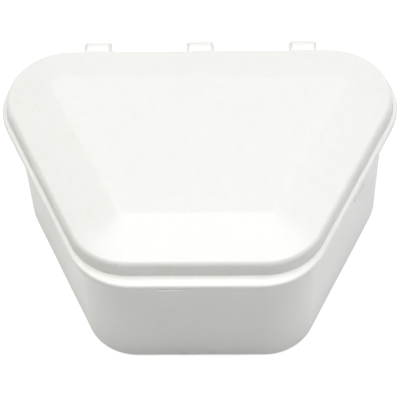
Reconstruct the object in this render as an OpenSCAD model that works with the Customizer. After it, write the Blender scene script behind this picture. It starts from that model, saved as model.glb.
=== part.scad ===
// Hinged denture case: a deep tray and a hip-roofed lid, both moulded in white plastic.
// The plan is a rounded trapezoid, wide at the hinge and narrow at the front.
// Three hooks on the lid clip round bars on the tray and turn on them.
// Millimetres, +Z up. The case stands on z = 0 with its hinge towards +Y,
// centred on its overall width and its overall depth, hooks included.

/* [Plan] */
// Width over the rim at the back corners
rim_w = 95; // [84:0.5:120]
// Depth of the rim, from its back edge to its front edge
rim_d = 68.8; // [58:0.2:90]
// Lean of each side edge, in degrees away from straight front to back
side_lean = 25.4; // [12:0.1:27]
// Corner radius of the rim beside the hinge
back_corner_r = 16.2; // [9:0.1:19]
// Corner radius of the rim at the front
front_corner_r = 15.8; // [9:0.1:18]
// How much further the rim stands out along the front, as a lip for a finger
finger_lip = 1.8; // [0:0.1:3]

/* [Tray] */
// Height of the tray's rim, where the lid lies on it
tray_h = 35.4; // [22:0.1:60]
// Thickness of the tray's walls
wall_t = 1.6; // [1.2:0.1:2.2]
// Thickness of the tray's floor
floor_t = 1.8; // [1.2:0.1:3]
// Draft of the tray's walls, in degrees
wall_draft = 0.8; // [0:0.1:2]
// Radius where the floor meets the walls inside
floor_r = 3; // [1:0.1:5]
// Radius of the bottom edge outside
foot_r = 0.8; // [0.3:0.1:1.5]
// Thickness of the tray's rim flange
tray_rim_t = 0.9; // [0.6:0.1:1.5]
// How far the tray's rim stays back from the edge of the lid's rim
rim_step = 0.15; // [0.1:0.05:0.6]
// Height of the lip that stands up inside the lid
lip_h = 2; // [1:0.1:2.6]
// Thickness of that lip at its root
lip_t = 1.1; // [0.8:0.05:1.6]
// Gap between the lip and the inside of the lid
lip_gap = 0.3; // [0.25:0.05:0.5]

/* [Lid] */
// Thickness of the lid's shell
lid_t = 1.4; // [1:0.1:2]
// Thickness of the lid's rim flange
lid_rim_t = 1.2; // [1:0.1:2]
// Radius that rounds the rim's upper edge
rim_edge_r = 0.7; // [0.3:0.05:0.8]
// Width of the flat ledge between the rim's edge and the skirt
ledge_w = 1.25; // [1:0.05:2.5]
// Height of the skirt, from the ledge to the edge of the roof
skirt_h = 3.7; // [3:0.1:8]
// Draft of the skirt, in degrees
skirt_draft = 5; // [2:0.5:8]
// Width in plan of the sloping facets of the roof
facet_w = 11.5; // [6:0.5:16]
// Rise of the roof over those facets
roof_rise = 3.3; // [2:0.1:6]
// Radius that rolls the roof over into the skirt
roof_edge_r = 1.3; // [1:0.1:2.5]
// Radius that softens the crease round the flat top
crease_r = 4; // [1:0.5:6]
// Corner radius of the flat top
top_corner_r = 2.2; // [1:0.1:4]

/* [Hinge] */
// Number of hooks along the back
hook_count = 3; // [2:1:3]
// Distance between neighbouring hooks
hook_pitch = 25.2; // [16:0.1:27]
// Width of a hook
hook_w = 7; // [5:0.1:9]
// Distance of the hinge axis behind the rim's back edge
axis_back = 1.5; // [1.4:0.1:2.5]
// Depth of the hinge axis below the tray's rim
axis_drop = 0.5; // [0.3:0.1:1.5]
// Diameter of a hinge bar
bar_d = 1.6; // [1.2:0.1:2]
// Running gap all round a bar
bar_gap = 0.05; // [0.03:0.01:0.1]
// Wall of the hook under the bar
eye_t = 1.05; // [0.8:0.05:1.4]
// Radius of the rounded back of a hook
hook_back_r = 2.75; // [2.4:0.05:3]
// Height of that radius's centre above the hinge axis
hook_back_rise = 1; // [0.4:0.1:1.2]
// Radius of a hook's two far corners in plan
hook_corner_r = 2; // [0.5:0.1:2.4]
// Width of the mouth that a bar is pressed through
mouth_w = 1.3; // [0.9:0.05:1.5]
// Direction of that mouth, in degrees from straight back, turning upwards
mouth_angle = 235; // [225:1:250]
// Thickness of the ears that carry a bar's ends
ear_t = 1; // [0.8:0.1:2]
// Wall of an ear round its bar
ear_wall = 0.3; // [0.2:0.05:0.4]
// Gap between a hook and the ears beside it
ear_gap = 0.3; // [0.2:0.05:0.6]
// Gap between a hook and the notch it passes through in the tray's rim
notch_gap = 0.35; // [0.25:0.05:0.6]

/* [Closure] */
// Length of the tab on the right-hand side of the lid
tab_l = 5.5; // [4:0.1:10]
// Thickness of the tab
tab_t = 0.9; // [0.6:0.05:1]
// How far the tab hangs below the tray's rim face
tab_drop = 1.8; // [1.4:0.1:3]
// Distance of the tab's middle from the rim's back edge
tab_from_back = 41.5; // [34:0.5:46]
// How far the tab's outer face stays back from the edge of the lid's rim
tab_in = 0.1; // [0.05:0.05:0.3]
// Gap between the tab and its notch in the tray's rim
tab_gap = 0.25; // [0.2:0.05:0.4]
// Width of the raised border round the tab, for a fingertip
tab_border_w = 0.45; // [0.3:0.05:0.8]
// How far that border stands out from the tab
tab_border_t = 0.25; // [0.1:0.05:0.4]
// Length of the opening nib on the tray's rim
nib_l = 6; // [3:0.5:10]
// Distance of the nib's middle to the left of the centre line
nib_left = 6; // [0:0.5:8]
// How far the nib stands out in front of the lid's rim
nib_out = 0.2; // [0.05:0.05:0.6]

/* [Hidden] */
$fn = 64;
white = [0.93, 0.93, 0.92];
warm_white = [0.96, 0.96, 0.95];
eps = 0.01;
back_steps = 16;
front_steps = 10;
min_corner_r = 0.5;
small_r = 0.2;
under_rim_r = 0.4;
cap_margin = 1.5;
nib_slack = 0.05;
hook_margin = 0.15;

// Heights
rim_top = tray_h + lid_rim_t;
roof_z = rim_top + skirt_h;
top_z = roof_z + roof_rise;
rim_under = tray_h - tray_rim_t;
lip_top = tray_h + lip_h;

// The roof's slope and the offsets that keep the shell's thickness
lean_t = tan(skirt_draft);
slope = roof_rise / facet_w;
skirt_k = lid_t * sqrt(1 + lean_t * lean_t);
roof_k = lid_t * sqrt(1 + slope * slope);
roof_in = ledge_w + skirt_h * lean_t;
top_in = roof_in + facet_w;
roof_inner_dz = (slope * skirt_k - roof_k) / (1 - slope * lean_t);
roof_inner_in = roof_in + roof_inner_dz * lean_t + skirt_k;
ceiling_z = top_z - lid_t;
ceiling_in = roof_in + (roof_rise - lid_t + roof_k) / slope;

// Insets from the rim's edge, measured on the sides and the back
function skirt_inner(z) = ledge_w + (z - rim_top) * lean_t + skirt_k;
function lip_outer(z) = skirt_inner(z) + lip_gap;
wall_in = lip_outer(tray_h) + lip_t;
function wall_inner(z) = wall_in + (tray_h - z) * tan(wall_draft);
function wall_outer(z) = wall_inner(z) - wall_t;

// Hinge
bar_r = bar_d / 2;
bore_r = bar_r + bar_gap;
eye_r = bore_r + eye_t;
ear_r = bar_r + ear_wall;
hook_reach = axis_back + max(hook_back_r, eye_r);
back_y = (rim_d + nib_out - hook_reach) / 2;
front_y = back_y - rim_d;
axis_y = back_y + axis_back;
axis_z = tray_h - axis_drop;
hook_back_z = axis_z + hook_back_rise;
hook_span = hook_w + 2 * ear_gap;
hook_x = [for (i = [0:hook_count - 1]) (i - (hook_count - 1) / 2) * hook_pitch];

// The right-hand side of the rim is the line side_n * p = side_off
side_n = [cos(side_lean), -sin(side_lean)];
corner_c = [rim_w / 2 - back_corner_r, back_y - back_corner_r];
side_off = side_n * corner_c + back_corner_r;

// A run of points on an arc
function arc(c, r, from, to, steps) =
    [for (i = [0:steps]) let (a = from + (to - from) * i / steps) c + r * [cos(a), sin(a)]];

// Plan of the case at an inset from the rim's edge, with its own corner radii
function plan(inset, front_extra, back_r, front_r) =
    let (
        top = back_y - inset,
        bottom = front_y + inset + front_extra,
        off = side_off - inset,
        back_c = [(off - back_r + sin(side_lean) * (top - back_r)) / cos(side_lean), top - back_r],
        front_c = [(off - front_r + sin(side_lean) * (bottom + front_r)) / cos(side_lean), bottom + front_r],
        right = concat(
            arc(front_c, front_r, -90, -side_lean, front_steps),
            arc(back_c, back_r, -side_lean, 90, back_steps)
        ),
        last = len(right) - 1
    )
    concat(right, [for (i = [0:last]) [-right[last - i][0], right[last - i][1]]]);

function mix(a, b, t) = a + (b - a) * t;
function clamp01(t) = max(0, min(1, t));

// Corner radius at an inset: parallel up to the roof's start, then closing on the flat top's
function corner_r(r, inset, start) =
    inset <= start
        ? max(r - inset, min_corner_r)
        : mix(max(r - start, min_corner_r), top_corner_r, clamp01((inset - start) / (top_in - start)));

// A station is one level of the loft. The finger lip sets back all but the rim's own edge.
function station(p, split) =
    let (
        extra = p[0] < split ? 0 : finger_lip,
        loop = plan(p[0], extra, corner_r(back_corner_r, p[0], p[2]), corner_r(front_corner_r, p[0], p[2]))
    )
    [for (q = loop) [q[0], q[1], p[1]]];

// One solid lofted through closed loops of equal length, with a flat face at each end
module loft(loops) {
    n = len(loops[0]);
    sides = [for (k = [0:len(loops) - 2], i = [0:n - 1])
        [k * n + i, k * n + (i + 1) % n, (k + 1) * n + (i + 1) % n, (k + 1) * n + i]];
    first_cap = [for (i = [0:n - 1]) n - 1 - i];
    last_cap = [for (i = [0:n - 1]) (len(loops) - 1) * n + i];
    faces = concat([first_cap], sides, [last_cap]);
    polyhedron([for (loop = loops, p = loop) p], [for (f = faces) [for (i = [len(f) - 1:-1:0]) f[i]]]);
}

// Rounds the corner b of the path a, b, c by an arc of radius r
function corner(a, b, c, r, steps) =
    let (
        u = (a - b) / norm(a - b),
        v = (c - b) / norm(c - b),
        half = acos(u * v) / 2,
        reach = min(r / tan(half), 0.49 * norm(a - b), 0.49 * norm(c - b)),
        true_r = reach * tan(half),
        m = b + (u + v) / norm(u + v) * true_r / sin(half),
        from = b + u * reach - m,
        to = b + v * reach - m,
        a0 = atan2(from[1], from[0]),
        turn = ((atan2(to[1], to[0]) - a0 + 540) % 360) - 180
    )
    [for (i = [0:steps]) let (g = a0 + turn * i / steps) m + true_r * [cos(g), sin(g)]];

function flat(p) = [p[0], p[1]];

// A path of [inset, height, radius, steps, roof start] turned into points that keep the last
function profile(path) = [
    for (i = [0:len(path) - 1])
        let (p = path[i])
        for (q = p[2] == 0 ? [flat(p)] : corner(flat(path[i - 1]), flat(p), flat(path[i + 1]), p[2], p[3]))
            [q[0], q[1], p[4]]
];

// Gives every point of a path the inset at which its roof starts
function with_roof(path, start) = [for (p = path) concat(p, start)];

// From the underside, up the outside, over the rim and the lip, and down to the floor
tray_path = with_roof([
    [wall_outer(0) + foot_r + cap_margin, 0, 0, 0],
    [wall_outer(0), 0, foot_r, 3],
    [wall_outer(rim_under), rim_under, under_rim_r, 2],
    [rim_step, rim_under, small_r, 2],
    [rim_step, tray_h, small_r, 2],
    [lip_outer(tray_h), tray_h, small_r / 2, 1],
    [lip_outer(lip_top), lip_top, small_r, 2],
    [wall_inner(lip_top), lip_top, small_r, 2],
    [wall_inner(floor_t), floor_t, floor_r, 5],
    [wall_inner(floor_t) + floor_r + cap_margin, floor_t, 0, 0]
], rim_w);

// From the ceiling down the inside to the rim, then out and up over the roof
lid_path = concat(
    with_roof([
        [ceiling_in + cap_margin, ceiling_z, 0, 0],
        [ceiling_in, ceiling_z, crease_r, 2],
        [roof_inner_in, roof_z + roof_inner_dz, max(roof_edge_r - lid_t, small_r), 2],
        [skirt_inner(tray_h), tray_h, small_r, 1]
    ], roof_inner_in),
    with_roof([
        [0, tray_h, small_r, 2],
        [0, rim_top, rim_edge_r, 4],
        [ledge_w, rim_top, small_r, 2],
        [roof_in, roof_z, roof_edge_r, 6],
        [top_in, top_z, crease_r, 3],
        [top_in + cap_margin, top_z, 0, 0]
    ], roof_in)
);

// Draws its children's profile, in the plane of Y and Z, as a bar along X
module along_x(length) {
    rotate([90, 0, 90])
        linear_extrude(height = length, center = true)
            children();
}

module tray_shell() {
    split = (rim_step + wall_outer(rim_under)) / 2;
    loft([for (p = profile(tray_path)) station(p, split)]);
}

// Clears the tray's rim where a hook passes down behind it
module hook_notch() {
    front = hook_back_front() - notch_gap;
    depth = back_y - front + 1;
    translate([-hook_span / 2, front, rim_under - 1])
        cube([hook_span, depth, tray_rim_t + 2]);
}

// Foremost point of the hook's rounded back
function hook_back_front() = axis_y - hook_back_r;

// An ear stands out behind the wall under the rim and holds one end of a bar
module ear() {
    root_y = back_y - (wall_outer(rim_under) + wall_t / 2);
    top = tray_h - eps * 10;
    waist = ear_r * 0.9;
    along_x(ear_t)
        union() {
            translate([axis_y, axis_z])
                circle(r = ear_r);
            polygon([
                [root_y, top],
                [axis_y - waist, top],
                [axis_y, axis_z + waist * 0.5],
                [axis_y, axis_z - waist],
                [root_y, axis_z - waist - (axis_y - root_y)]
            ]);
        }
}

module hinge_bar() {
    translate([0, axis_y, axis_z])
        rotate([0, 90, 0])
            cylinder(r = bar_r, h = hook_span + ear_t, center = true);
}

// The tray's half of one hinge: a bar between two ears
module bar_mount() {
    hinge_bar();
    for (side = [-1, 1])
        translate([side * (hook_span + ear_t) / 2, 0, 0])
            ear();
}

// Places children on the right-hand rim edge: X runs forward along it and Y points inwards
module on_side() {
    along = back_y - tab_from_back;
    edge_x = (side_off - side_n[1] * along) / side_n[0];
    translate([edge_x, along, 0])
        rotate(270 - side_lean)
            mirror([0, 1, 0])
                children();
}

// Makes room for the lid's tab in the tray's rim
module tab_notch() {
    on_side()
        translate([-tab_l / 2 - notch_gap, -1, rim_under - 1])
            cube([tab_l + 2 * notch_gap, 1 + tab_in + tab_t + tab_gap, tray_rim_t + 2]);
}

// A low nib on the tray's rim that a fingernail holds while the lid is lifted
module opening_nib() {
    depth = nib_out + rim_step + tray_rim_t;
    r = min(nib_l, tray_rim_t) * 0.4;
    translate([-nib_left, front_y - nib_out, rim_under + nib_slack])
        linear_extrude(height = tray_rim_t - 2 * nib_slack)
            polygon(concat(
                [[nib_l / 2, depth], [-nib_l / 2, depth]],
                arc([-nib_l / 2 + r, r], r, 180, 270, 4),
                arc([nib_l / 2 - r, r], r, 270, 360, 4)
            ));
}

module tray() {
    color(white)
        union() {
            difference() {
                tray_shell();
                for (x = hook_x)
                    translate([x, 0, 0])
                        hook_notch();
                tab_notch();
            }
            for (x = hook_x)
                translate([x, 0, 0])
                    bar_mount();
            opening_nib();
        }
}

module lid_shell() {
    loft([for (p = profile(lid_path)) station(p, ledge_w / 2)]);
}

// Side view of a hook: a rounded back, an eye round the bar, and a root in the skirt
module hook_profile() {
    root_y = back_y - ledge_w - lid_t / 2;
    root_top = rim_top + lid_rim_t * 0.45;
    root_bottom = tray_h + lid_rim_t * 0.25;
    shoulder = 0.98 * hook_back_r * [cos(120), sin(120)];
    difference() {
        union() {
            translate([axis_y, hook_back_z])
                circle(r = hook_back_r);
            translate([axis_y, axis_z])
                circle(r = eye_r);
            polygon([
                [root_y, root_bottom],
                [axis_y, root_bottom],
                [axis_y + shoulder[0], hook_back_z + shoulder[1]],
                [root_y, root_top]
            ]);
        }
        translate([axis_y, axis_z])
            circle(r = bore_r);
        translate([axis_y, axis_z])
            rotate(mouth_angle)
                translate([0, -mouth_w / 2])
                    square([2 * eye_r, mouth_w]);
    }
}

// Two square corners and two rounded ones, on a strip of the hook's width
module rounded_strip(near, far) {
    c = hook_w / 2 - hook_corner_r;
    polygon(concat(
        [[-hook_w / 2, near], [hook_w / 2, near]],
        arc([c, far - hook_corner_r], hook_corner_r, 0, 90, 8),
        arc([-c, far - hook_corner_r], hook_corner_r, 90, 180, 8)
    ));
}

// A hook is its side view, trimmed to round its far corners as seen from above and from behind
module hinge_hook() {
    low = axis_z - 2 * eye_r;
    high = hook_back_z + hook_back_r + hook_margin;
    near = back_y - ledge_w - lid_t;
    far = back_y + hook_reach + hook_margin;
    intersection() {
        along_x(hook_w + 1)
            hook_profile();
        translate([0, 0, low])
            linear_extrude(height = high - low + 1)
                rounded_strip(near, far);
        translate([0, far + 1, 0])
            rotate([90, 0, 0])
                linear_extrude(height = far - near + 2)
                    rounded_strip(low, high);
    }
}

// Outline of the tab, hanging from the lid's rim, drawn in by an even inset
module tab_outline(inset) {
    foot = tray_h - tab_drop + inset;
    head = rim_top - rim_edge_r;
    half = tab_l / 2 - inset;
    r = min(tab_l / 4, tab_drop * 0.8) - inset;
    polygon(concat(
        [[half, head], [-half, head]],
        arc([-half + r, foot + r], r, 180, 270, 6),
        arc([half - r, foot + r], r, 270, 360, 6)
    ));
}

// Places a flat shape on the tab's outer face, standing out or reaching in
module on_tab(depth_in, thickness) {
    on_side()
        translate([0, depth_in + thickness, 0])
            rotate([90, 0, 0])
                linear_extrude(height = thickness)
                    children();
}

// Tab that drops into the notch in the tray's rim as the lid shuts, with a raised border
module side_tab() {
    on_tab(tab_in, tab_t)
        tab_outline(0);
    on_tab(tab_in - tab_border_t, tab_border_t + tab_t / 2)
        difference() {
            tab_outline(0);
            translate([0, 0.1])
                tab_outline(tab_border_w);
            translate([0, tray_h + lid_rim_t / 2])
                square([2 * tab_l, lid_rim_t], center = true);
        }
}

module lid() {
    color(warm_white)
        union() {
            lid_shell();
            for (x = hook_x)
                translate([x, 0, 0])
                    hinge_hook();
            side_tab();
        }
}

tray();
lid();
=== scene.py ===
# White hinged denture case, shut on a pale table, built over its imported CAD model.
# Shapes are worked out in millimetres and scaled to metres when a piece is finished.
from math import sin, cos, tan, radians, degrees, atan2, acos, hypot

import bpy
import bmesh
from mathutils import Vector, Matrix


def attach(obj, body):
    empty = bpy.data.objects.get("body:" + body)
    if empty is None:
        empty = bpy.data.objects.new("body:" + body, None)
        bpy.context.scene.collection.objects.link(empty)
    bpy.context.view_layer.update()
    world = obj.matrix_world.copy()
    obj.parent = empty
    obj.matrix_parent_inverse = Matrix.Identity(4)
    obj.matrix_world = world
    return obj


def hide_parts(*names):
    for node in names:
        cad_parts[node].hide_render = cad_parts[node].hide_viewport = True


mm = 0.001

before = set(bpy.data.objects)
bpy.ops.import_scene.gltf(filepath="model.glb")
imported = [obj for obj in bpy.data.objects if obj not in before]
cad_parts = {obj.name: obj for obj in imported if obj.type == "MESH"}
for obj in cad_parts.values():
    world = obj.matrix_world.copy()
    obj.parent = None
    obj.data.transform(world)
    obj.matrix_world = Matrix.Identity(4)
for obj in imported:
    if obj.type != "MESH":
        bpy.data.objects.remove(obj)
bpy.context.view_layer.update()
print("frame loaded")

view = {
    "azimuth": 2.972,         # degrees to the right of straight in front
    "elevation": 52.758,
    "roll": -2.685,
    "distance": 403.54,       # from the middle of the base
    "shiftRight": -0.04,      # the camera is slid sideways and up, without turning
    "shiftUp": 12.273,
    "focalPixels": 1600,
    "framePixels": 400,
    "sensorWidth": 36,
    "clip": (0.01, 50),       # metres
}


def addCamera(v):
    a, e, r = radians(v["azimuth"]), radians(v["elevation"]), radians(v["roll"])
    back = Vector((sin(a) * cos(e), -cos(a) * cos(e), sin(e)))
    right = Vector((cos(a), sin(a), 0))
    up = back.cross(right)
    rightRolled = right * cos(r) + up * sin(r)
    upRolled = up * cos(r) - right * sin(r)
    place = back * v["distance"] + right * v["shiftRight"] + up * v["shiftUp"]
    data = bpy.data.cameras.new("photoCamera")
    data.sensor_width = v["sensorWidth"]
    data.lens = v["focalPixels"] * v["sensorWidth"] / v["framePixels"]
    data.clip_start, data.clip_end = v["clip"]
    camera = bpy.data.objects.new("photoCamera", data)
    bpy.context.collection.objects.link(camera)
    turn = Matrix((rightRolled, upRolled, back)).transposed()
    camera.matrix_world = Matrix.Translation(place * mm) @ turn.to_4x4()
    bpy.context.scene.camera = camera
    print("camera set")


addCamera(view)

plan = {
    "rimWidth": 95.0,
    "rimDepth": 68.8,
    "sideLean": 25.4,         # degrees
    "backCornerR": 16.2,
    "frontCornerR": 15.8,
    "fingerLip": 1.8,         # the rim stands out this much further along the front
    "hookReach": 4.25,        # furthest point of the hooks behind the rim
    "nibOut": 0.2,            # how far the opening nib stands out in front of the rim
    "frontSteps": 22,
    "backSteps": 34,
    "smallestR": 0.5,
}
leanSin, leanCos = sin(radians(plan["sideLean"])), cos(radians(plan["sideLean"]))
backY = (plan["rimDepth"] + plan["nibOut"] - plan["hookReach"]) / 2
frontY = backY - plan["rimDepth"]
sideOff = (leanCos * (plan["rimWidth"] / 2 - plan["backCornerR"])
           - leanSin * (backY - plan["backCornerR"]) + plan["backCornerR"])

meshing = {
    "cornerShare": 0.49,      # a rounded corner takes at most this share of the side beside it
    "past": 1,                # a cutter runs this far past what it cuts
    "weldGap": 0.004,
    "flatAngle": 0.5,         # degrees; faces flatter than this are joined
    "sharpAngle": 38,         # degrees; sharper edges are rounded, or shaded as sharp
    "bevelSegments": 3,
    "shadingWeight": 60,      # above 50, larger faces lead the shading
}
past = meshing["past"]


def mix(a, b, t):
    return a + (b - a) * t


def arc(x, y, r, start, end, steps):
    turns = [radians(mix(start, end, i / steps)) for i in range(steps + 1)]
    return [(x + r * cos(t), y + r * sin(t)) for t in turns]


def planLoop(inset, frontExtra, backR, frontR):
    # the case's outline, anticlockwise from above, starting at the front right
    top, bottom, off = backY - inset, frontY + inset + frontExtra, sideOff - inset
    backX = (off - backR + leanSin * (top - backR)) / leanCos
    frontX = (off - frontR + leanSin * (bottom + frontR)) / leanCos
    right = arc(frontX, bottom + frontR, frontR, -90, -plan["sideLean"], plan["frontSteps"])
    right += arc(backX, top - backR, backR, -plan["sideLean"], 90, plan["backSteps"])
    return right + [(-x, y) for x, y in reversed(right)]


def roundCorner(a, b, c, r, steps):  # an arc of radius r in place of the corner at b
    a, b, c = Vector(a), Vector(b), Vector(c)
    u, v = (a - b).normalized(), (c - b).normalized()
    half = acos(max(-1, min(1, u.dot(v)))) / 2
    share = meshing["cornerShare"]
    reach = min(r / tan(half), share * (a - b).length, share * (c - b).length)
    r = reach * tan(half)
    centre = b + (u + v).normalized() * r / sin(half)
    first, last = b + u * reach - centre, b + v * reach - centre
    start = degrees(atan2(first.y, first.x))
    turn = (degrees(atan2(last.y, last.x)) - start + 540) % 360 - 180  # the short way round
    return arc(centre.x, centre.y, r, start, start + turn, steps)


def roundedProfile(path):  # (inset, height, radius, steps, rest) to (inset, height, rest)
    points = []
    for i, (inset, z, r, steps, *rest) in enumerate(path):
        if not r:
            points.append((inset, z, *rest))
            continue
        before, after = path[i - 1][:2], path[i + 1][:2]
        corner = roundCorner(before, (inset, z), after, r, steps)
        points += [(x, y, *rest) for x, y in corner]
    return points


def meshPiece(name, vertices, faces):
    mesh = bpy.data.meshes.new(name)
    mesh.from_pydata(vertices, [], faces)
    piece = bpy.data.objects.new(name, mesh)
    bpy.context.collection.objects.link(piece)
    build = bmesh.new()
    build.from_mesh(mesh)
    bmesh.ops.recalc_face_normals(build, faces=build.faces)
    build.to_mesh(mesh)
    build.free()
    return piece


def loft(name, loops):  # closed loops of one length, with a flat face over each end
    n = len(loops[0])
    faces = [tuple(range(n)), tuple(range((len(loops) - 1) * n, len(loops) * n))]
    for k in range(len(loops) - 1):
        for i in range(n):
            j = (i + 1) % n
            faces.append((k * n + i, k * n + j, (k + 1) * n + j, (k + 1) * n + i))
    return meshPiece(name, [point for loop in loops for point in loop], faces)


def prism(name, outline, low, high, place):
    # an outline pushed from low to high; place(u, v, w) gives the point
    return loft(name, [[place(u, v, w) for u, v in outline] for w in (low, high)])


def alongX(y, z, x):
    return (x, y, z)


def alongY(x, z, y):
    return (x, y, z)


def alongZ(x, y, z):
    return (x, y, z)


def settle(piece):  # bakes a piece's modifiers into its mesh
    bpy.context.view_layer.update()
    evaluated = piece.evaluated_get(bpy.context.evaluated_depsgraph_get())
    mesh = bpy.data.meshes.new_from_object(evaluated)
    piece.modifiers.clear()
    old, name = piece.data, piece.data.name
    piece.data = mesh
    bpy.data.meshes.remove(old)
    mesh.name = name


def combine(piece, tool, operation):
    modifier = piece.modifiers.new("combine", "BOOLEAN")
    modifier.operation, modifier.solver, modifier.object = operation, "MANIFOLD", tool
    settle(piece)
    bpy.data.objects.remove(tool)
    return piece


def tidyFaces(piece):
    build = bmesh.new()
    build.from_mesh(piece.data)
    bmesh.ops.remove_doubles(build, verts=build.verts, dist=meshing["weldGap"])
    bmesh.ops.dissolve_limit(build, angle_limit=radians(meshing["flatAngle"]),
                             verts=build.verts, edges=build.edges)
    build.to_mesh(piece.data)
    build.free()


def roundEdges(piece, width):
    bevel = piece.modifiers.new("edges", "BEVEL")
    bevel.width, bevel.segments = width, meshing["bevelSegments"]
    bevel.limit_method, bevel.angle_limit = "ANGLE", radians(meshing["sharpAngle"])
    bevel.use_clamp_overlap = True
    settle(piece)
    return piece


def finishMoulding(piece, material, node):  # one moulding takes the place of its CAD node
    piece.data.materials.clear()
    piece.data.materials.append(material)
    for face in piece.data.polygons:
        face.use_smooth = True
    piece.data.set_sharp_from_angle(angle=radians(meshing["sharpAngle"]))
    weighted = piece.modifiers.new("evenShading", "WEIGHTED_NORMAL")
    weighted.keep_sharp, weighted.weight = True, meshing["shadingWeight"]
    settle(piece)
    piece.data.transform(Matrix.Scale(mm, 4))
    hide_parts(node)
    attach(piece, node)
    print(node, "moulding made,", len(piece.data.polygons), "faces")


def linear(grey):  # sRGB grey, 0 to 1, to scene linear
    return grey / 12.92 if grey <= 0.04045 else ((grey + 0.055) / 1.055) ** 2.4


def linearColour(red, green, blue):
    return (linear(red), linear(green), linear(blue), 1)


def feed(tree, node, values):  # a plain value is set on its socket, a node's output is linked
    for label, value in values.items():
        if isinstance(value, bpy.types.NodeSocket):
            tree.links.new(value, node.inputs[label])
        else:
            node.inputs[label].default_value = value


def addNode(tree, kind, values):
    node = tree.nodes.new(kind)
    feed(tree, node, values)
    return node


def mathNode(tree, operation, first, second):
    node = addNode(tree, "ShaderNodeMath", {0: first, 1: second})
    node.operation = operation
    return node.outputs[0]


def noise(tree, where, scale, detail, roughness):
    values = {"Vector": where, "Scale": scale, "Detail": detail, "Roughness": roughness}
    return addNode(tree, "ShaderNodeTexNoise", values).outputs["Fac"]


def stretched(tree, where, scale, turn):
    values = {"Vector": where, "Scale": scale, "Rotation": [radians(angle) for angle in turn]}
    return addNode(tree, "ShaderNodeMapping", values).outputs["Vector"]


def softStep(tree, value, low, high):  # 0 at low, 1 at high
    node = tree.nodes.new("ShaderNodeMapRange")
    node.interpolation_type = "SMOOTHSTEP"
    feed(tree, node, {"Value": value, "From Min": low, "From Max": high})
    return node.outputs["Result"]


def mixColours(tree, factor, first, second):
    node = tree.nodes.new("ShaderNodeMix")
    node.data_type = "RGBA"
    feed(tree, node, {"Factor": factor, 6: first, 7: second})  # 6 and 7 are its colours
    return node.outputs[2]


def newGroup(name, values, results):  # takes a place and some numbers, puts out numbers
    group = bpy.data.node_groups.new(name, "ShaderNodeTree")
    group.interface.new_socket("Place", in_out="INPUT", socket_type="NodeSocketVector")
    for label, value in values.items():
        socket = group.interface.new_socket(label, in_out="INPUT", socket_type="NodeSocketFloat")
        socket.default_value = value
    for label in results:
        group.interface.new_socket(label, in_out="OUTPUT", socket_type="NodeSocketFloat")
    given, made = group.nodes.new("NodeGroupInput"), group.nodes.new("NodeGroupOutput")
    return group, given.outputs, made


def addGroup(tree, group, values):
    node = tree.nodes.new("ShaderNodeGroup")
    node.node_tree = group
    feed(tree, node, values)
    return node


surface = {                   # a noise is its detail and its roughness; scales are per metre
    "grainNoise": (2, 0.6),
    "flowNoise": (2, 0.4),
    "mottleScale": 620,
    "mottleNoise": (4, 0.6),
    "mottleBand": (0.3, 0.7),
    "strokes": (((30, 1500, 900), (0, 12, 31)),       # how each set of rubs is stretched and
                ((24, 1300, 800), (10, -8, -52))),    # turned, in degrees
    "strokeNoise": (1, 0.4),
    "strokeBand": (0.66, 0.74),                       # only the noise's peaks leave a line
    "patchScale": 60,
    "patchNoise": (2, 0.5),
    "patchBand": (0.42, 0.62),
    "fleckCore": 0.5,         # share of a fleck's radius that is fully dark
}


def mouldedSkinGroup(s):
    # eroded grain, slow flow ripples and uneven gloss of a moulded face; heights in millimetres
    group, given, made = newGroup("mouldedSkin", {
        "Grain Scale": 3600.0,
        "Grain Depth": 0.004,
        "Flow Scale": 110.0,
        "Flow Depth": 0.02,
        "Gloss Level": 0.34,
        "Gloss Spread": 0.12,
    }, ("Height", "Roughness", "Mottle"))
    grain = noise(group, given["Place"], given["Grain Scale"], *s["grainNoise"])
    flow = noise(group, given["Place"], given["Flow Scale"], *s["flowNoise"])
    mottle = noise(group, given["Place"], s["mottleScale"], *s["mottleNoise"])
    grainHeight = mathNode(group, "MULTIPLY", grain, given["Grain Depth"])
    flowHeight = mathNode(group, "MULTIPLY", flow, given["Flow Depth"])
    fromMiddle = mathNode(group, "SUBTRACT", mottle, 0.5)
    spread = mathNode(group, "MULTIPLY", fromMiddle, given["Gloss Spread"])
    feed(group, made, {
        "Height": mathNode(group, "ADD", grainHeight, flowHeight),
        "Roughness": mathNode(group, "ADD", given["Gloss Level"], spread),
        "Mottle": softStep(group, mottle, *s["mottleBand"]),
    })
    return group


def handlingWearGroup(s):  # hairline rubs left by washing and handling, in two directions
    group, given, made = newGroup("handlingWear", {"Amount": 0.5}, ("Rubs",))
    rubs = []
    for scale, turn in s["strokes"]:
        across = stretched(group, given["Place"], scale, turn)
        streaks = noise(group, across, 1.0, *s["strokeNoise"])
        rubs.append(softStep(group, streaks, *s["strokeBand"]))
    patches = noise(group, given["Place"], s["patchScale"], *s["patchNoise"])
    patches = softStep(group, patches, *s["patchBand"])
    both = mathNode(group, "MAXIMUM", *rubs)
    worn = mathNode(group, "MULTIPLY", both, patches)
    feed(group, made, {"Rubs": mathNode(group, "MULTIPLY", worn, given["Amount"])})
    return group


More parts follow.
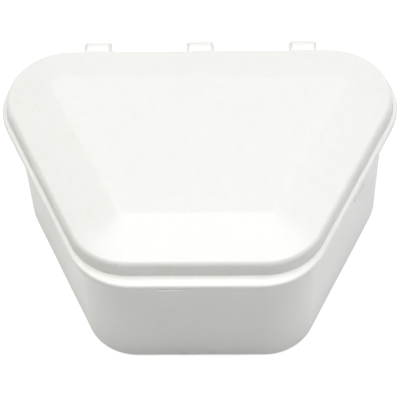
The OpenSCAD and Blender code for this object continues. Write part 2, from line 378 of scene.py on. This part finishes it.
def resinFlecksGroup(s):  # the odd tiny dark fleck in the plastic
    group, given, made = newGroup("resinFlecks", {
        "Spacing": 240.0,     # cells per metre
        "Size": 0.05,         # radius as a share of a cell
        "Rarity": 0.82,       # share of the cells that stay clean
    }, ("Flecks",))
    values = {"Vector": given["Place"], "Scale": given["Spacing"]}
    cells = addNode(group, "ShaderNodeTexVoronoi", values).outputs
    split = addNode(group, "ShaderNodeSeparateColor", {"Color": cells["Color"]})
    chosen = mathNode(group, "GREATER_THAN", split.outputs["Red"], given["Rarity"])
    core = mathNode(group, "MULTIPLY", given["Size"], s["fleckCore"])
    inside = softStep(group, cells["Distance"], given["Size"], core)
    feed(group, made, {"Flecks": mathNode(group, "MULTIPLY", chosen, inside)})
    return group


mouldedSkin = mouldedSkinGroup(surface)
handlingWear = handlingWearGroup(surface)
resinFlecks = resinFlecksGroup(surface)

plastic = {
    "white": (0.953, 0.953, 0.942),           # sRGB, as are the next two
    "shade": (0.945, 0.944, 0.931),
    "fleck": (0.84, 0.83, 0.80),
    "ior": 1.49,
    "soft": 0.25,             # share of the light that scatters under the surface
    "softDepth": 0.7,
    "softReach": (1, 0.95, 0.85),             # of red, green and blue
}
trayFinish = {
    "grainDepth": 0.007,
    "flowDepth": 0.02,
    "gloss": 0.38,            # roughness; lower is glossier
    "wear": 0.1,
    "shift": (0.11, 0.07, 0.03),              # moves the pattern, so the mouldings differ
}
lidFinish = {
    "grainDepth": 0.0035,
    "flowDepth": 0.02,
    "gloss": 0.33,
    "wear": 0.14,
    "shift": (0.43, 0.31, 0.17),
}


def mouldedPlastic(name, p, f):
    material = bpy.data.materials.new(name)
    material.use_nodes = True
    tree = material.node_tree
    coordinates = tree.nodes.new("ShaderNodeTexCoord")
    values = {"Vector": coordinates.outputs["Object"], "Location": f["shift"]}
    where = addNode(tree, "ShaderNodeMapping", values).outputs["Vector"]
    skin = addGroup(tree, mouldedSkin, {
        "Place": where,
        "Grain Depth": f["grainDepth"],
        "Flow Depth": f["flowDepth"],
        "Gloss Level": f["gloss"],
    }).outputs
    rubs = addGroup(tree, handlingWear, {"Place": where, "Amount": f["wear"]}).outputs["Rubs"]
    flecks = addGroup(tree, resinFlecks, {"Place": where}).outputs["Flecks"]
    body = mixColours(tree, skin["Mottle"], linearColour(*p["shade"]), linearColour(*p["white"]))
    values = {"Height": skin["Height"], "Strength": 1.0, "Distance": mm}
    bump = addNode(tree, "ShaderNodeBump", values)
    feed(tree, tree.nodes["Principled BSDF"], {
        "Base Color": mixColours(tree, flecks, body, linearColour(*p["fleck"])),
        "Roughness": mathNode(tree, "ADD", skin["Roughness"], rubs),
        "Normal": bump.outputs["Normal"],
        "IOR": p["ior"],
        "Subsurface Weight": p["soft"],
        "Subsurface Radius": p["softReach"],
        "Subsurface Scale": p["softDepth"] * mm,
    })
    return material


trayPlastic = mouldedPlastic("trayWhitePlastic", plastic, trayFinish)
lidPlastic = mouldedPlastic("lidWhitePlastic", plastic, lidFinish)
print("materials made")

lid = {
    "partZ": 35.4,            # the lid lies on the tray's rim at this height
    "rimT": 1.2,
    "rimInset": 0.03,         # keeps the finer arcs inside the CAD model's box
    "rimEdgeR": 0.7,
    "ledgeW": 1.25,
    "skirtH": 3.7,
    "skirtDraft": 5.0,        # degrees
    "facetW": 11.5,
    "roofRise": 3.3,
    "roofEdgeR": 1.3,
    "creaseR": 4.0,
    "topCornerR": 2.2,
    "shellT": 1.4,
    "smallR": 0.2,
    "capMargin": 1.5,         # flat ring between the last crease and the face over the end
}
draftTan = tan(radians(lid["skirtDraft"]))
slope = lid["roofRise"] / lid["facetW"]
ledgeZ = lid["partZ"] + lid["rimT"]
roofZ = ledgeZ + lid["skirtH"]
topZ = roofZ + lid["roofRise"]
skirtShell = lid["shellT"] * hypot(1, draftTan)   # level thickness of the leaning skirt
roofShell = lid["shellT"] * hypot(1, slope)       # upright thickness of the sloping roof
roofStart = lid["ledgeW"] + lid["skirtH"] * draftTan
topStart = roofStart + lid["facetW"]
innerDrop = (slope * skirtShell - roofShell) / (1 - slope * draftTan)  # from roofZ, negative
innerStart = roofStart + innerDrop * draftTan + skirtShell
ceilingStart = roofStart + (lid["roofRise"] - lid["shellT"] + roofShell) / slope


def cornerR(r, inset, start):
    # parallel as far as the roof's start, then closing on the flat top's own corner
    low = plan["smallestR"]
    if inset <= start:
        return max(r - inset, low)
    share = max(0, min(1, (inset - start) / (topStart - start)))
    return mix(max(r - start, low), lid["topCornerR"], share)


def station(split, inset, z, start, rounder=0.0):
    # a shell's outline at one inset and height; inside split it leaves out the finger lip
    extra = 0 if inset < split else plan["fingerLip"]
    backR = cornerR(plan["backCornerR"], inset, start) + rounder
    loop = planLoop(inset, extra, backR, cornerR(plan["frontCornerR"], inset, start))
    return [(x, y, z) for x, y in loop]


def skirtInner(z):
    return lid["ledgeW"] + (z - ledgeZ) * draftTan + skirtShell


def lidShell():
    s, inner, outer = lid, innerStart, roofStart
    path = [
        (ceilingStart + s["capMargin"], topZ - s["shellT"], 0, 0, inner),
        (ceilingStart, topZ - s["shellT"], s["creaseR"], 5, inner),
        (innerStart, roofZ + innerDrop, s["smallR"], 4, inner),
        (skirtInner(s["partZ"]), s["partZ"], s["smallR"], 3, inner),
        (s["rimInset"], s["partZ"], s["smallR"], 4, outer),
        (s["rimInset"], ledgeZ, s["rimEdgeR"], 8, outer),
        (s["ledgeW"], ledgeZ, s["smallR"], 4, outer),
        (roofStart, roofZ, s["roofEdgeR"], 12, outer),
        (topStart, topZ, s["creaseR"], 7, outer),
        (topStart + s["capMargin"], topZ, 0, 0, outer),
    ]
    return loft("lidMoulding", [station(s["ledgeW"] / 2, *point) for point in roundedProfile(path)])


tray = {
    "wallT": 1.4,
    "rounder": 1.1,           # the walls' back corners are this much rounder than the rim's
    "rounderFrom": 31.4,      # the inside takes the rounder corner from this height down
    "floorT": 1.8,
    "wallDraft": 0.8,         # degrees
    "floorR": 3.0,
    "footR": 0.8,
    "rimT": 0.9,
    "rimStep": 0.15,          # behind the edge of the lid's rim
    "underRimR": 0.4,
    "lipH": 2.0,
    "lipT": 1.1,
    "lipGap": 0.3,            # between the lip and the inside of the lid's skirt
    "smallR": 0.2,
    "capMargin": 1.5,
    "noRoof": 95.0,           # a roof's start past every inset, so the corners stay parallel
}
rimUnder = lid["partZ"] - tray["rimT"]
lipTop = lid["partZ"] + tray["lipH"]


def lipOuter(z):
    return skirtInner(z) + tray["lipGap"]


def wallInner(z):
    top, draft = lid["partZ"], tan(radians(tray["wallDraft"]))
    return lipOuter(top) + tray["lipT"] + (top - z) * draft


def wallOuter(z):
    return wallInner(z) - tray["wallT"]


def trayShell():
    s, z, flat, more = tray, lid["partZ"], tray["noRoof"], tray["rounder"]
    floorZ, floorIn = s["floorT"], wallInner(s["floorT"])
    path = [
        (wallOuter(0) + s["footR"] + s["capMargin"], 0, 0, 0, flat, more),
        (wallOuter(0), 0, s["footR"], 6, flat, more),
        (wallOuter(rimUnder), rimUnder, s["underRimR"], 4, flat, more),
        (s["rimStep"], rimUnder, s["smallR"], 4, flat),
        (s["rimStep"], z, s["smallR"], 4, flat),
        (lipOuter(z), z, s["smallR"] / 2, 3, flat),
        (lipOuter(lipTop), lipTop, s["smallR"], 4, flat),
        (wallInner(lipTop), lipTop, s["smallR"], 4, flat),
        (wallInner(s["rounderFrom"]), s["rounderFrom"], 0, 0, flat, more),
        (floorIn, floorZ, s["floorR"], 10, flat, more),
        (floorIn + s["floorR"] + s["capMargin"], floorZ, 0, 0, flat, more),
    ]
    split = (s["rimStep"] + wallOuter(rimUnder)) / 2
    return loft("trayMoulding", [station(split, *point) for point in roundedProfile(path)])


hinge = {
    "places": (-25.2, 0.0, 25.2),
    "hookW": 7.0,
    "axisBack": 1.5,          # the bars' axis, behind the rim and below the parting line
    "axisDrop": 0.5,
    "barR": 0.8,
    "barGap": 0.05,
    "eyeT": 1.05,
    "backR": 2.75,            # of the hook's rounded back, and how far its middle is over the axis
    "backRise": 1.0,
    "cornerR": 2.0,           # of the hook, seen from above and from behind
    "cornerSteps": 12,
    "mouthW": 1.3,
    "mouthAngle": 235,        # degrees, from straight back and upwards
    "shoulderAngle": 120,
    "shoulderReach": 0.98,    # share of the back's radius at which the arm's top joins it
    "rootLow": 0.25,          # the arm's root, as shares of the rim's thickness
    "rootHigh": 0.45,
    "rootDrop": 0.3,
    "hookEdgeR": 1.1,
    "eyeEdgeR": 0.4,
    "hookShy": 0.01,          # keeps the hook's sides clear of the strips that trim it
    "margin": 0.15,           # those strips' ends stand this far off the hook
    "notchGap": 0.35,
    "earT": 1.0,
    "earWall": 0.3,
    "earGap": 0.3,
    "earEdgeR": 0.12,
    "webDrop": 0.1,
    "webWaist": 0.9,          # half height of the ear's web at the axis, as a share of its radius
    "webNose": 0.5,           # share of that half height at which its upper side ends
    "steps": 48,
}
axisY, axisZ = backY + hinge["axisBack"], lid["partZ"] - hinge["axisDrop"]
hookSpan = hinge["hookW"] + 2 * hinge["earGap"]


def circle(y, z, r, steps):
    return arc(y, z, r, 0, 360 * (steps - 1) / steps, steps - 1)


def box(name, low, high):
    outline = [(low[0], low[1]), (high[0], low[1]), (high[0], high[1]), (low[0], high[1])]
    return prism(name, outline, low[2], high[2], alongZ)


def copyTo(piece, places):  # one mesh repeated along X
    build, mesh = bmesh.new(), bpy.data.meshes.new(piece.data.name)
    for x in places:
        part = piece.data.copy()
        part.transform(Matrix.Translation((x, 0, 0)))
        build.from_mesh(part)
        bpy.data.meshes.remove(part)
    build.to_mesh(mesh)
    build.free()
    old = piece.data
    piece.data = mesh
    bpy.data.meshes.remove(old)
    return piece


def roundedStrip(low, high, s):  # square at low, rounded corners at high
    half, r, steps = s["hookW"] / 2, s["cornerR"], s["cornerSteps"]
    c = half - r
    right, left = arc(c, high - r, r, 0, 90, steps), arc(-c, high - r, r, 90, 180, steps)
    return [(-half, low), (half, low)] + right + left


def roundedAcross(name, half, edge, outline, steps=8):
    # pushes outline(d) along X; d, the inset, grows from 0 to edge at both ends
    turns = [radians(90 * i / steps) for i in range(steps + 1)]
    ends = [(half - edge * (1 - cos(a)), edge * (1 - sin(a))) for a in turns]
    stations = [(-x, d) for x, d in ends] + [(x, d) for x, d in reversed(ends)]
    return loft(name, [[(x, y, z) for y, z in outline(d)] for x, d in stations])


def hingeHooks(s):
    half, wide = s["hookW"] / 2 - s["hookShy"], s["hookW"] / 2 + past
    backZ, boreR = axisZ + s["backRise"], s["barR"] + s["barGap"]
    eyeR = boreR + s["eyeT"]
    rootY = backY - lid["ledgeW"] - lid["shellT"] / 2
    rootLow = lid["partZ"] + lid["rimT"] * s["rootLow"]
    rootHigh = ledgeZ + lid["rimT"] * s["rootHigh"]

    def roll(d):
        return circle(axisY, backZ, s["backR"] - d, s["steps"] * 2)

    def eye(d):
        return circle(axisY, axisZ, eyeR - d, s["steps"])

    def arm(d):
        reach, turn = s["shoulderReach"] * (s["backR"] - d), radians(s["shoulderAngle"])
        shoulder = (axisY + reach * cos(turn), backZ + reach * sin(turn))
        return [(rootY, rootLow), (axisY, rootLow), shoulder, (rootY, rootHigh - d * s["rootDrop"])]

    hook = roundedAcross("hingeHooks", half, s["hookEdgeR"], roll)
    combine(hook, roundedAcross("eye", half, s["eyeEdgeR"], eye), "UNION")
    combine(hook, roundedAcross("arm", half, s["hookEdgeR"], arm), "UNION")
    bore = circle(axisY, axisZ, boreR, s["steps"])
    combine(hook, prism("bore", bore, -wide, wide, alongX), "DIFFERENCE")
    a, w = radians(s["mouthAngle"]), s["mouthW"] / 2
    mouth = [(axisY + u * cos(a) - v * sin(a), axisZ + u * sin(a) + v * cos(a))
             for u, v in ((0, -w), (2 * eyeR, -w), (2 * eyeR, w), (0, w))]
    combine(hook, prism("mouth", mouth, -wide, wide, alongX), "DIFFERENCE")
    low, high = axisZ - 2 * eyeR, backZ + s["backR"] + s["margin"]
    near = backY - lid["ledgeW"] - lid["shellT"]
    far = backY + plan["hookReach"] + s["margin"]
    fromAbove = prism("fromAbove", roundedStrip(near, far, s), low, high + past, alongZ)
    combine(hook, fromAbove, "INTERSECT")
    fromBehind = prism("fromBehind", roundedStrip(low, high, s), near - past, far + past, alongY)
    combine(hook, fromBehind, "INTERSECT")
    tidyFaces(hook)
    return copyTo(hook, s["places"])


def hingeBars(s):
    length = (hookSpan + s["earT"]) / 2
    outline = circle(axisY, axisZ, s["barR"], s["steps"])
    return copyTo(prism("hingeBars", outline, -length, length, alongX), s["places"])


def hingeEars(s):
    rootY = backY - (wallOuter(rimUnder) + tray["wallT"] / 2)
    earR = s["barR"] + s["earWall"]
    top, waist = lid["partZ"] - s["webDrop"], earR * s["webWaist"]
    web = [(rootY, top), (axisY - waist, top), (axisY, axisZ + waist * s["webNose"]),
           (axisY, axisZ - waist), (rootY, axisZ - waist - (axisY - rootY))]
    low, high = hookSpan / 2, hookSpan / 2 + s["earT"]
    ear = prism("hingeEars", circle(axisY, axisZ, earR, s["steps"]), low, high, alongX)
    combine(ear, prism("web", web, low, high, alongX), "UNION")
    tidyFaces(ear)
    pair = copyTo(ear, (0, -(low + high)))
    return copyTo(pair, s["places"])


def cutRim(piece, s, t):  # clears the tray's rim for the hooks and for the tab
    front = axisY - s["backR"] - s["notchGap"]
    low, high = rimUnder - past, lid["partZ"] + past
    for x in s["places"]:
        left, right = x - hookSpan / 2, x + hookSpan / 2
        combine(piece, box("notch", (left, front, low), (right, backY + past, high)), "DIFFERENCE")
    half, depth = t["length"] / 2 + t["notchGap"], t["inset"] + t["thick"] + t["gap"]
    outline = [(-half, -past), (half, -past), (half, depth), (-half, depth)]
    combine(piece, prism("notch", outline, low, high, alongSide(t)), "DIFFERENCE")


tab = {
    "length": 5.5,
    "thick": 0.9,
    "drop": 1.8,
    "fromBack": 41.5,
    "inset": 0.1,
    "gap": 0.25,
    "notchGap": 0.08,
    "footR": 1.375,
    "footSteps": 10,
    "borderW": 0.75,
    "borderT": 0.3,
    "borderLift": 0.11,       # how far the border runs up into the rounded foot of the rim
    "headSlope": 0.5,         # its heads fall by this share of what it stands out
    "slant": 0.45,            # its inner side leans back by this much over its height
    "innerEdge": 0.3,         # how round its inner edge is, as a share of the outer one
    "footLift": 0.1,
    "edgeR": 0.1,
    "edgeSteps": 3,
    "tongueShy": 0.03,        # the tongue lies this far inside the border's outline
}


def alongSide(t):  # u forward along the right-hand rim, v inwards from its edge, w upwards
    y = backY - t["fromBack"]
    x = (sideOff + leanSin * y) / leanCos
    return lambda u, v, w: (x - u * leanSin - v * leanCos, y - u * leanCos + v * leanSin, w)


def roundFooted(half, head, foot, r, steps):  # square at the head, rounded corners at the foot
    left = arc(-half + r, foot + r, r, 180, 270, steps)
    return [(half, head), (-half, head)] + left + arc(half - r, foot + r, r, 270, 360, steps)


def tabOutline(t, inset, head, lift=0.0):
    foot = lid["partZ"] - t["drop"] + inset + lift
    return roundFooted(t["length"] / 2 - inset, head, foot, t["footR"] - inset, t["footSteps"])


def sideTab(t):  # a tongue with a raised border round its sides and foot
    place = alongSide(t)

    def pushed(name, stations):
        return loft(name, [[place(u, v, w) for u, w in outline] for v, outline in stations])

    def border(inset, out=0.0):
        # the outline of the U; its inner side and its heads slant as it stands out
        base = lid["partZ"] + t["borderLift"] - out * t["headSlope"]
        slant = t["slant"] * out / t["borderT"]
        width = t["borderW"] - slant - inset * t["innerEdge"]
        outside, inside = tabOutline(t, inset, base), tabOutline(t, width, base, t["footLift"])
        return outside[1:] + outside[:1] + (inside[1:] + inside[:1])[::-1]

    face, front, e = t["inset"], t["inset"] - t["borderT"], t["edgeR"]
    tongue = tabOutline(t, t["tongueShy"], ledgeZ - lid["rimEdgeR"])
    piece = pushed("sideTab", [(face, tongue), (face + t["thick"], tongue)])
    stations = []
    for i in range(t["edgeSteps"], -1, -1):
        a = radians(90 * i / t["edgeSteps"])
        v = front + e * (1 - sin(a))
        stations.append((v, border(e * (1 - cos(a)), face - v)))
    stations += [(face, border(0)), (face + t["thick"] / 2, border(0))]
    return combine(piece, pushed("border", stations), "UNION")


nib = {
    "length": 6.0,
    "left": 6.0,              # of the middle
    "slack": 0.05,            # thinner than the tray's rim by this much, above and below
    "cornerR": 0.36,
    "cornerSteps": 6,
    "edgeR": 0.14,
}


def openingNib(n):
    depth = plan["nibOut"] + tray["rimStep"] + tray["rimT"]
    outline = roundFooted(n["length"] / 2, depth, 0, n["cornerR"], n["cornerSteps"])
    outline = [(x - n["left"], y + frontY - plan["nibOut"]) for x, y in outline]
    low, high = rimUnder + n["slack"], lid["partZ"] - n["slack"]
    return prism("openingNib", outline, low, high, alongZ)


mouldMarks = {
    "pinR": 2.5,              # flat rounds that the mould's ejector pins leave inside
    "pinDepth": 0.12,
    "lidPins": ((-17, 10), (17, 10), (0, -12)),
    "trayPins": ((-24, 14), (24, 14), (-13, -18), (13, -18)),
    "gate": (0, 2),           # the filling point, a small stub in a dimple under the tray
    "gateR": 2.2,
    "gateDepth": 0.4,
    "stubR": 0.6,
    "stubFoot": 0.12,         # height of the stub's end over the table
    "stubRoot": 0.2,          # how far the stub runs into the floor
    "steps": 40,
}


def roundMark(place, r, low, high):
    return prism("mark", circle(*place, r, mouldMarks["steps"]), low, high, alongZ)


def markLid(piece, m):
    low, high = topZ - lid["shellT"] - past, topZ - lid["shellT"] + m["pinDepth"]
    for place in m["lidPins"]:
        combine(piece, roundMark(place, m["pinR"], low, high), "DIFFERENCE")


def markTray(piece, m):
    low, high = tray["floorT"] - m["pinDepth"], tray["floorT"] + past
    for place in m["trayPins"]:
        combine(piece, roundMark(place, m["pinR"], low, high), "DIFFERENCE")
    combine(piece, roundMark(m["gate"], m["gateR"], -past, m["gateDepth"]), "DIFFERENCE")
    stubTop = m["gateDepth"] + m["stubRoot"]
    combine(piece, roundMark(m["gate"], m["stubR"], m["stubFoot"], stubTop), "UNION")


lidPiece = lidShell()
combine(lidPiece, hingeHooks(hinge), "UNION")
combine(lidPiece, sideTab(tab), "UNION")
markLid(lidPiece, mouldMarks)
finishMoulding(lidPiece, lidPlastic, "lid")

trayPiece = trayShell()
cutRim(trayPiece, hinge, tab)
markTray(trayPiece, mouldMarks)
combine(trayPiece, roundEdges(hingeEars(hinge), hinge["earEdgeR"]), "UNION")
combine(trayPiece, hingeBars(hinge), "UNION")
combine(trayPiece, roundEdges(openingNib(nib), nib["edgeR"]), "UNION")
finishMoulding(trayPiece, trayPlastic, "tray")

studio = {
    "floorSize": 6000,
    "floorGrey": 0.92,
    "floorRoughness": 0.9,
    "floorLift": 0.62,        # glow of the floor towards the camera, so it reads as white paper
}
lamps = {
    "key": {"size": (900, 700), "place": (0, 70, 900), "aimZ": 30, "power": 8.35},
    "front": {"size": (900, 400), "place": (0, -900, 260), "aimZ": 20, "power": 0.78},
    "left": {"size": (600, 500), "place": (-900, -100, 650), "aimZ": 20, "power": 0.98,
             "tint": (0.98, 1, 0.84)},
    "right": {"size": (600, 500), "place": (900, -100, 450), "aimZ": 20, "power": 1.44,
              "tint": (0.93, 0.93, 1)},
    "rear": {"size": (1200, 500), "place": (0, 900, 500), "aimZ": 20, "power": 0.5},
}


def addPanel(name, s):  # a softbox of s["power"] watts
    data = bpy.data.lights.new(name, "AREA")
    data.shape = "RECTANGLE"
    data.size, data.size_y = s["size"][0] * mm, s["size"][1] * mm
    data.energy = s["power"]
    data.color = s.get("tint", (1, 1, 1))
    lamp = bpy.data.objects.new(name, data)
    bpy.context.collection.objects.link(lamp)
    place, aim = Vector(s["place"]) * mm, Vector((0, 0, s["aimZ"])) * mm
    turn = (place - aim).to_track_quat("Z", "Y").to_matrix()
    lamp.matrix_world = Matrix.Translation(place) @ turn.to_4x4()


def seenDirectly(tree):
    # 1 for rays from the camera, a reflection or clear plastic, 0 for light that lands on the case
    path = tree.nodes.new("ShaderNodeLightPath").outputs
    either = mathNode(tree, "MAXIMUM", path["Is Camera Ray"], path["Is Glossy Ray"])
    return mathNode(tree, "MAXIMUM", either, path["Is Transmission Ray"])


def addFloor(s):
    mesh = bpy.data.meshes.new("studioFloor")
    half, grey = s["floorSize"] * mm / 2, s["floorGrey"]
    corners = [(-half, -half, 0), (half, -half, 0), (half, half, 0), (-half, half, 0)]
    mesh.from_pydata(corners, [], [(0, 1, 2, 3)])
    floor = bpy.data.objects.new("studioFloor", mesh)
    bpy.context.collection.objects.link(floor)
    material = bpy.data.materials.new("paleFloor")
    material.use_nodes = True
    tree = material.node_tree
    feed(tree, tree.nodes["Principled BSDF"], {
        "Base Color": linearColour(grey, grey, grey),
        "Roughness": s["floorRoughness"],
        "Emission Color": (1, 1, 1, 1),
        "Emission Strength": mathNode(tree, "MULTIPLY", seenDirectly(tree), s["floorLift"]),
    })
    mesh.materials.append(material)


def addWorld():  # white where it is seen, and no light of its own on the case
    world = bpy.data.worlds.new("studioWorld")
    world.use_nodes = True
    bpy.context.scene.world = world
    tree = world.node_tree
    feed(tree, tree.nodes["Background"], {"Color": (1, 1, 1, 1), "Strength": seenDirectly(tree)})


addFloor(studio)
addWorld()
for lampName, settings in lamps.items():
    addPanel(lampName, settings)
bpy.context.scene.view_settings.view_transform = "Standard"
print("stage and light set")
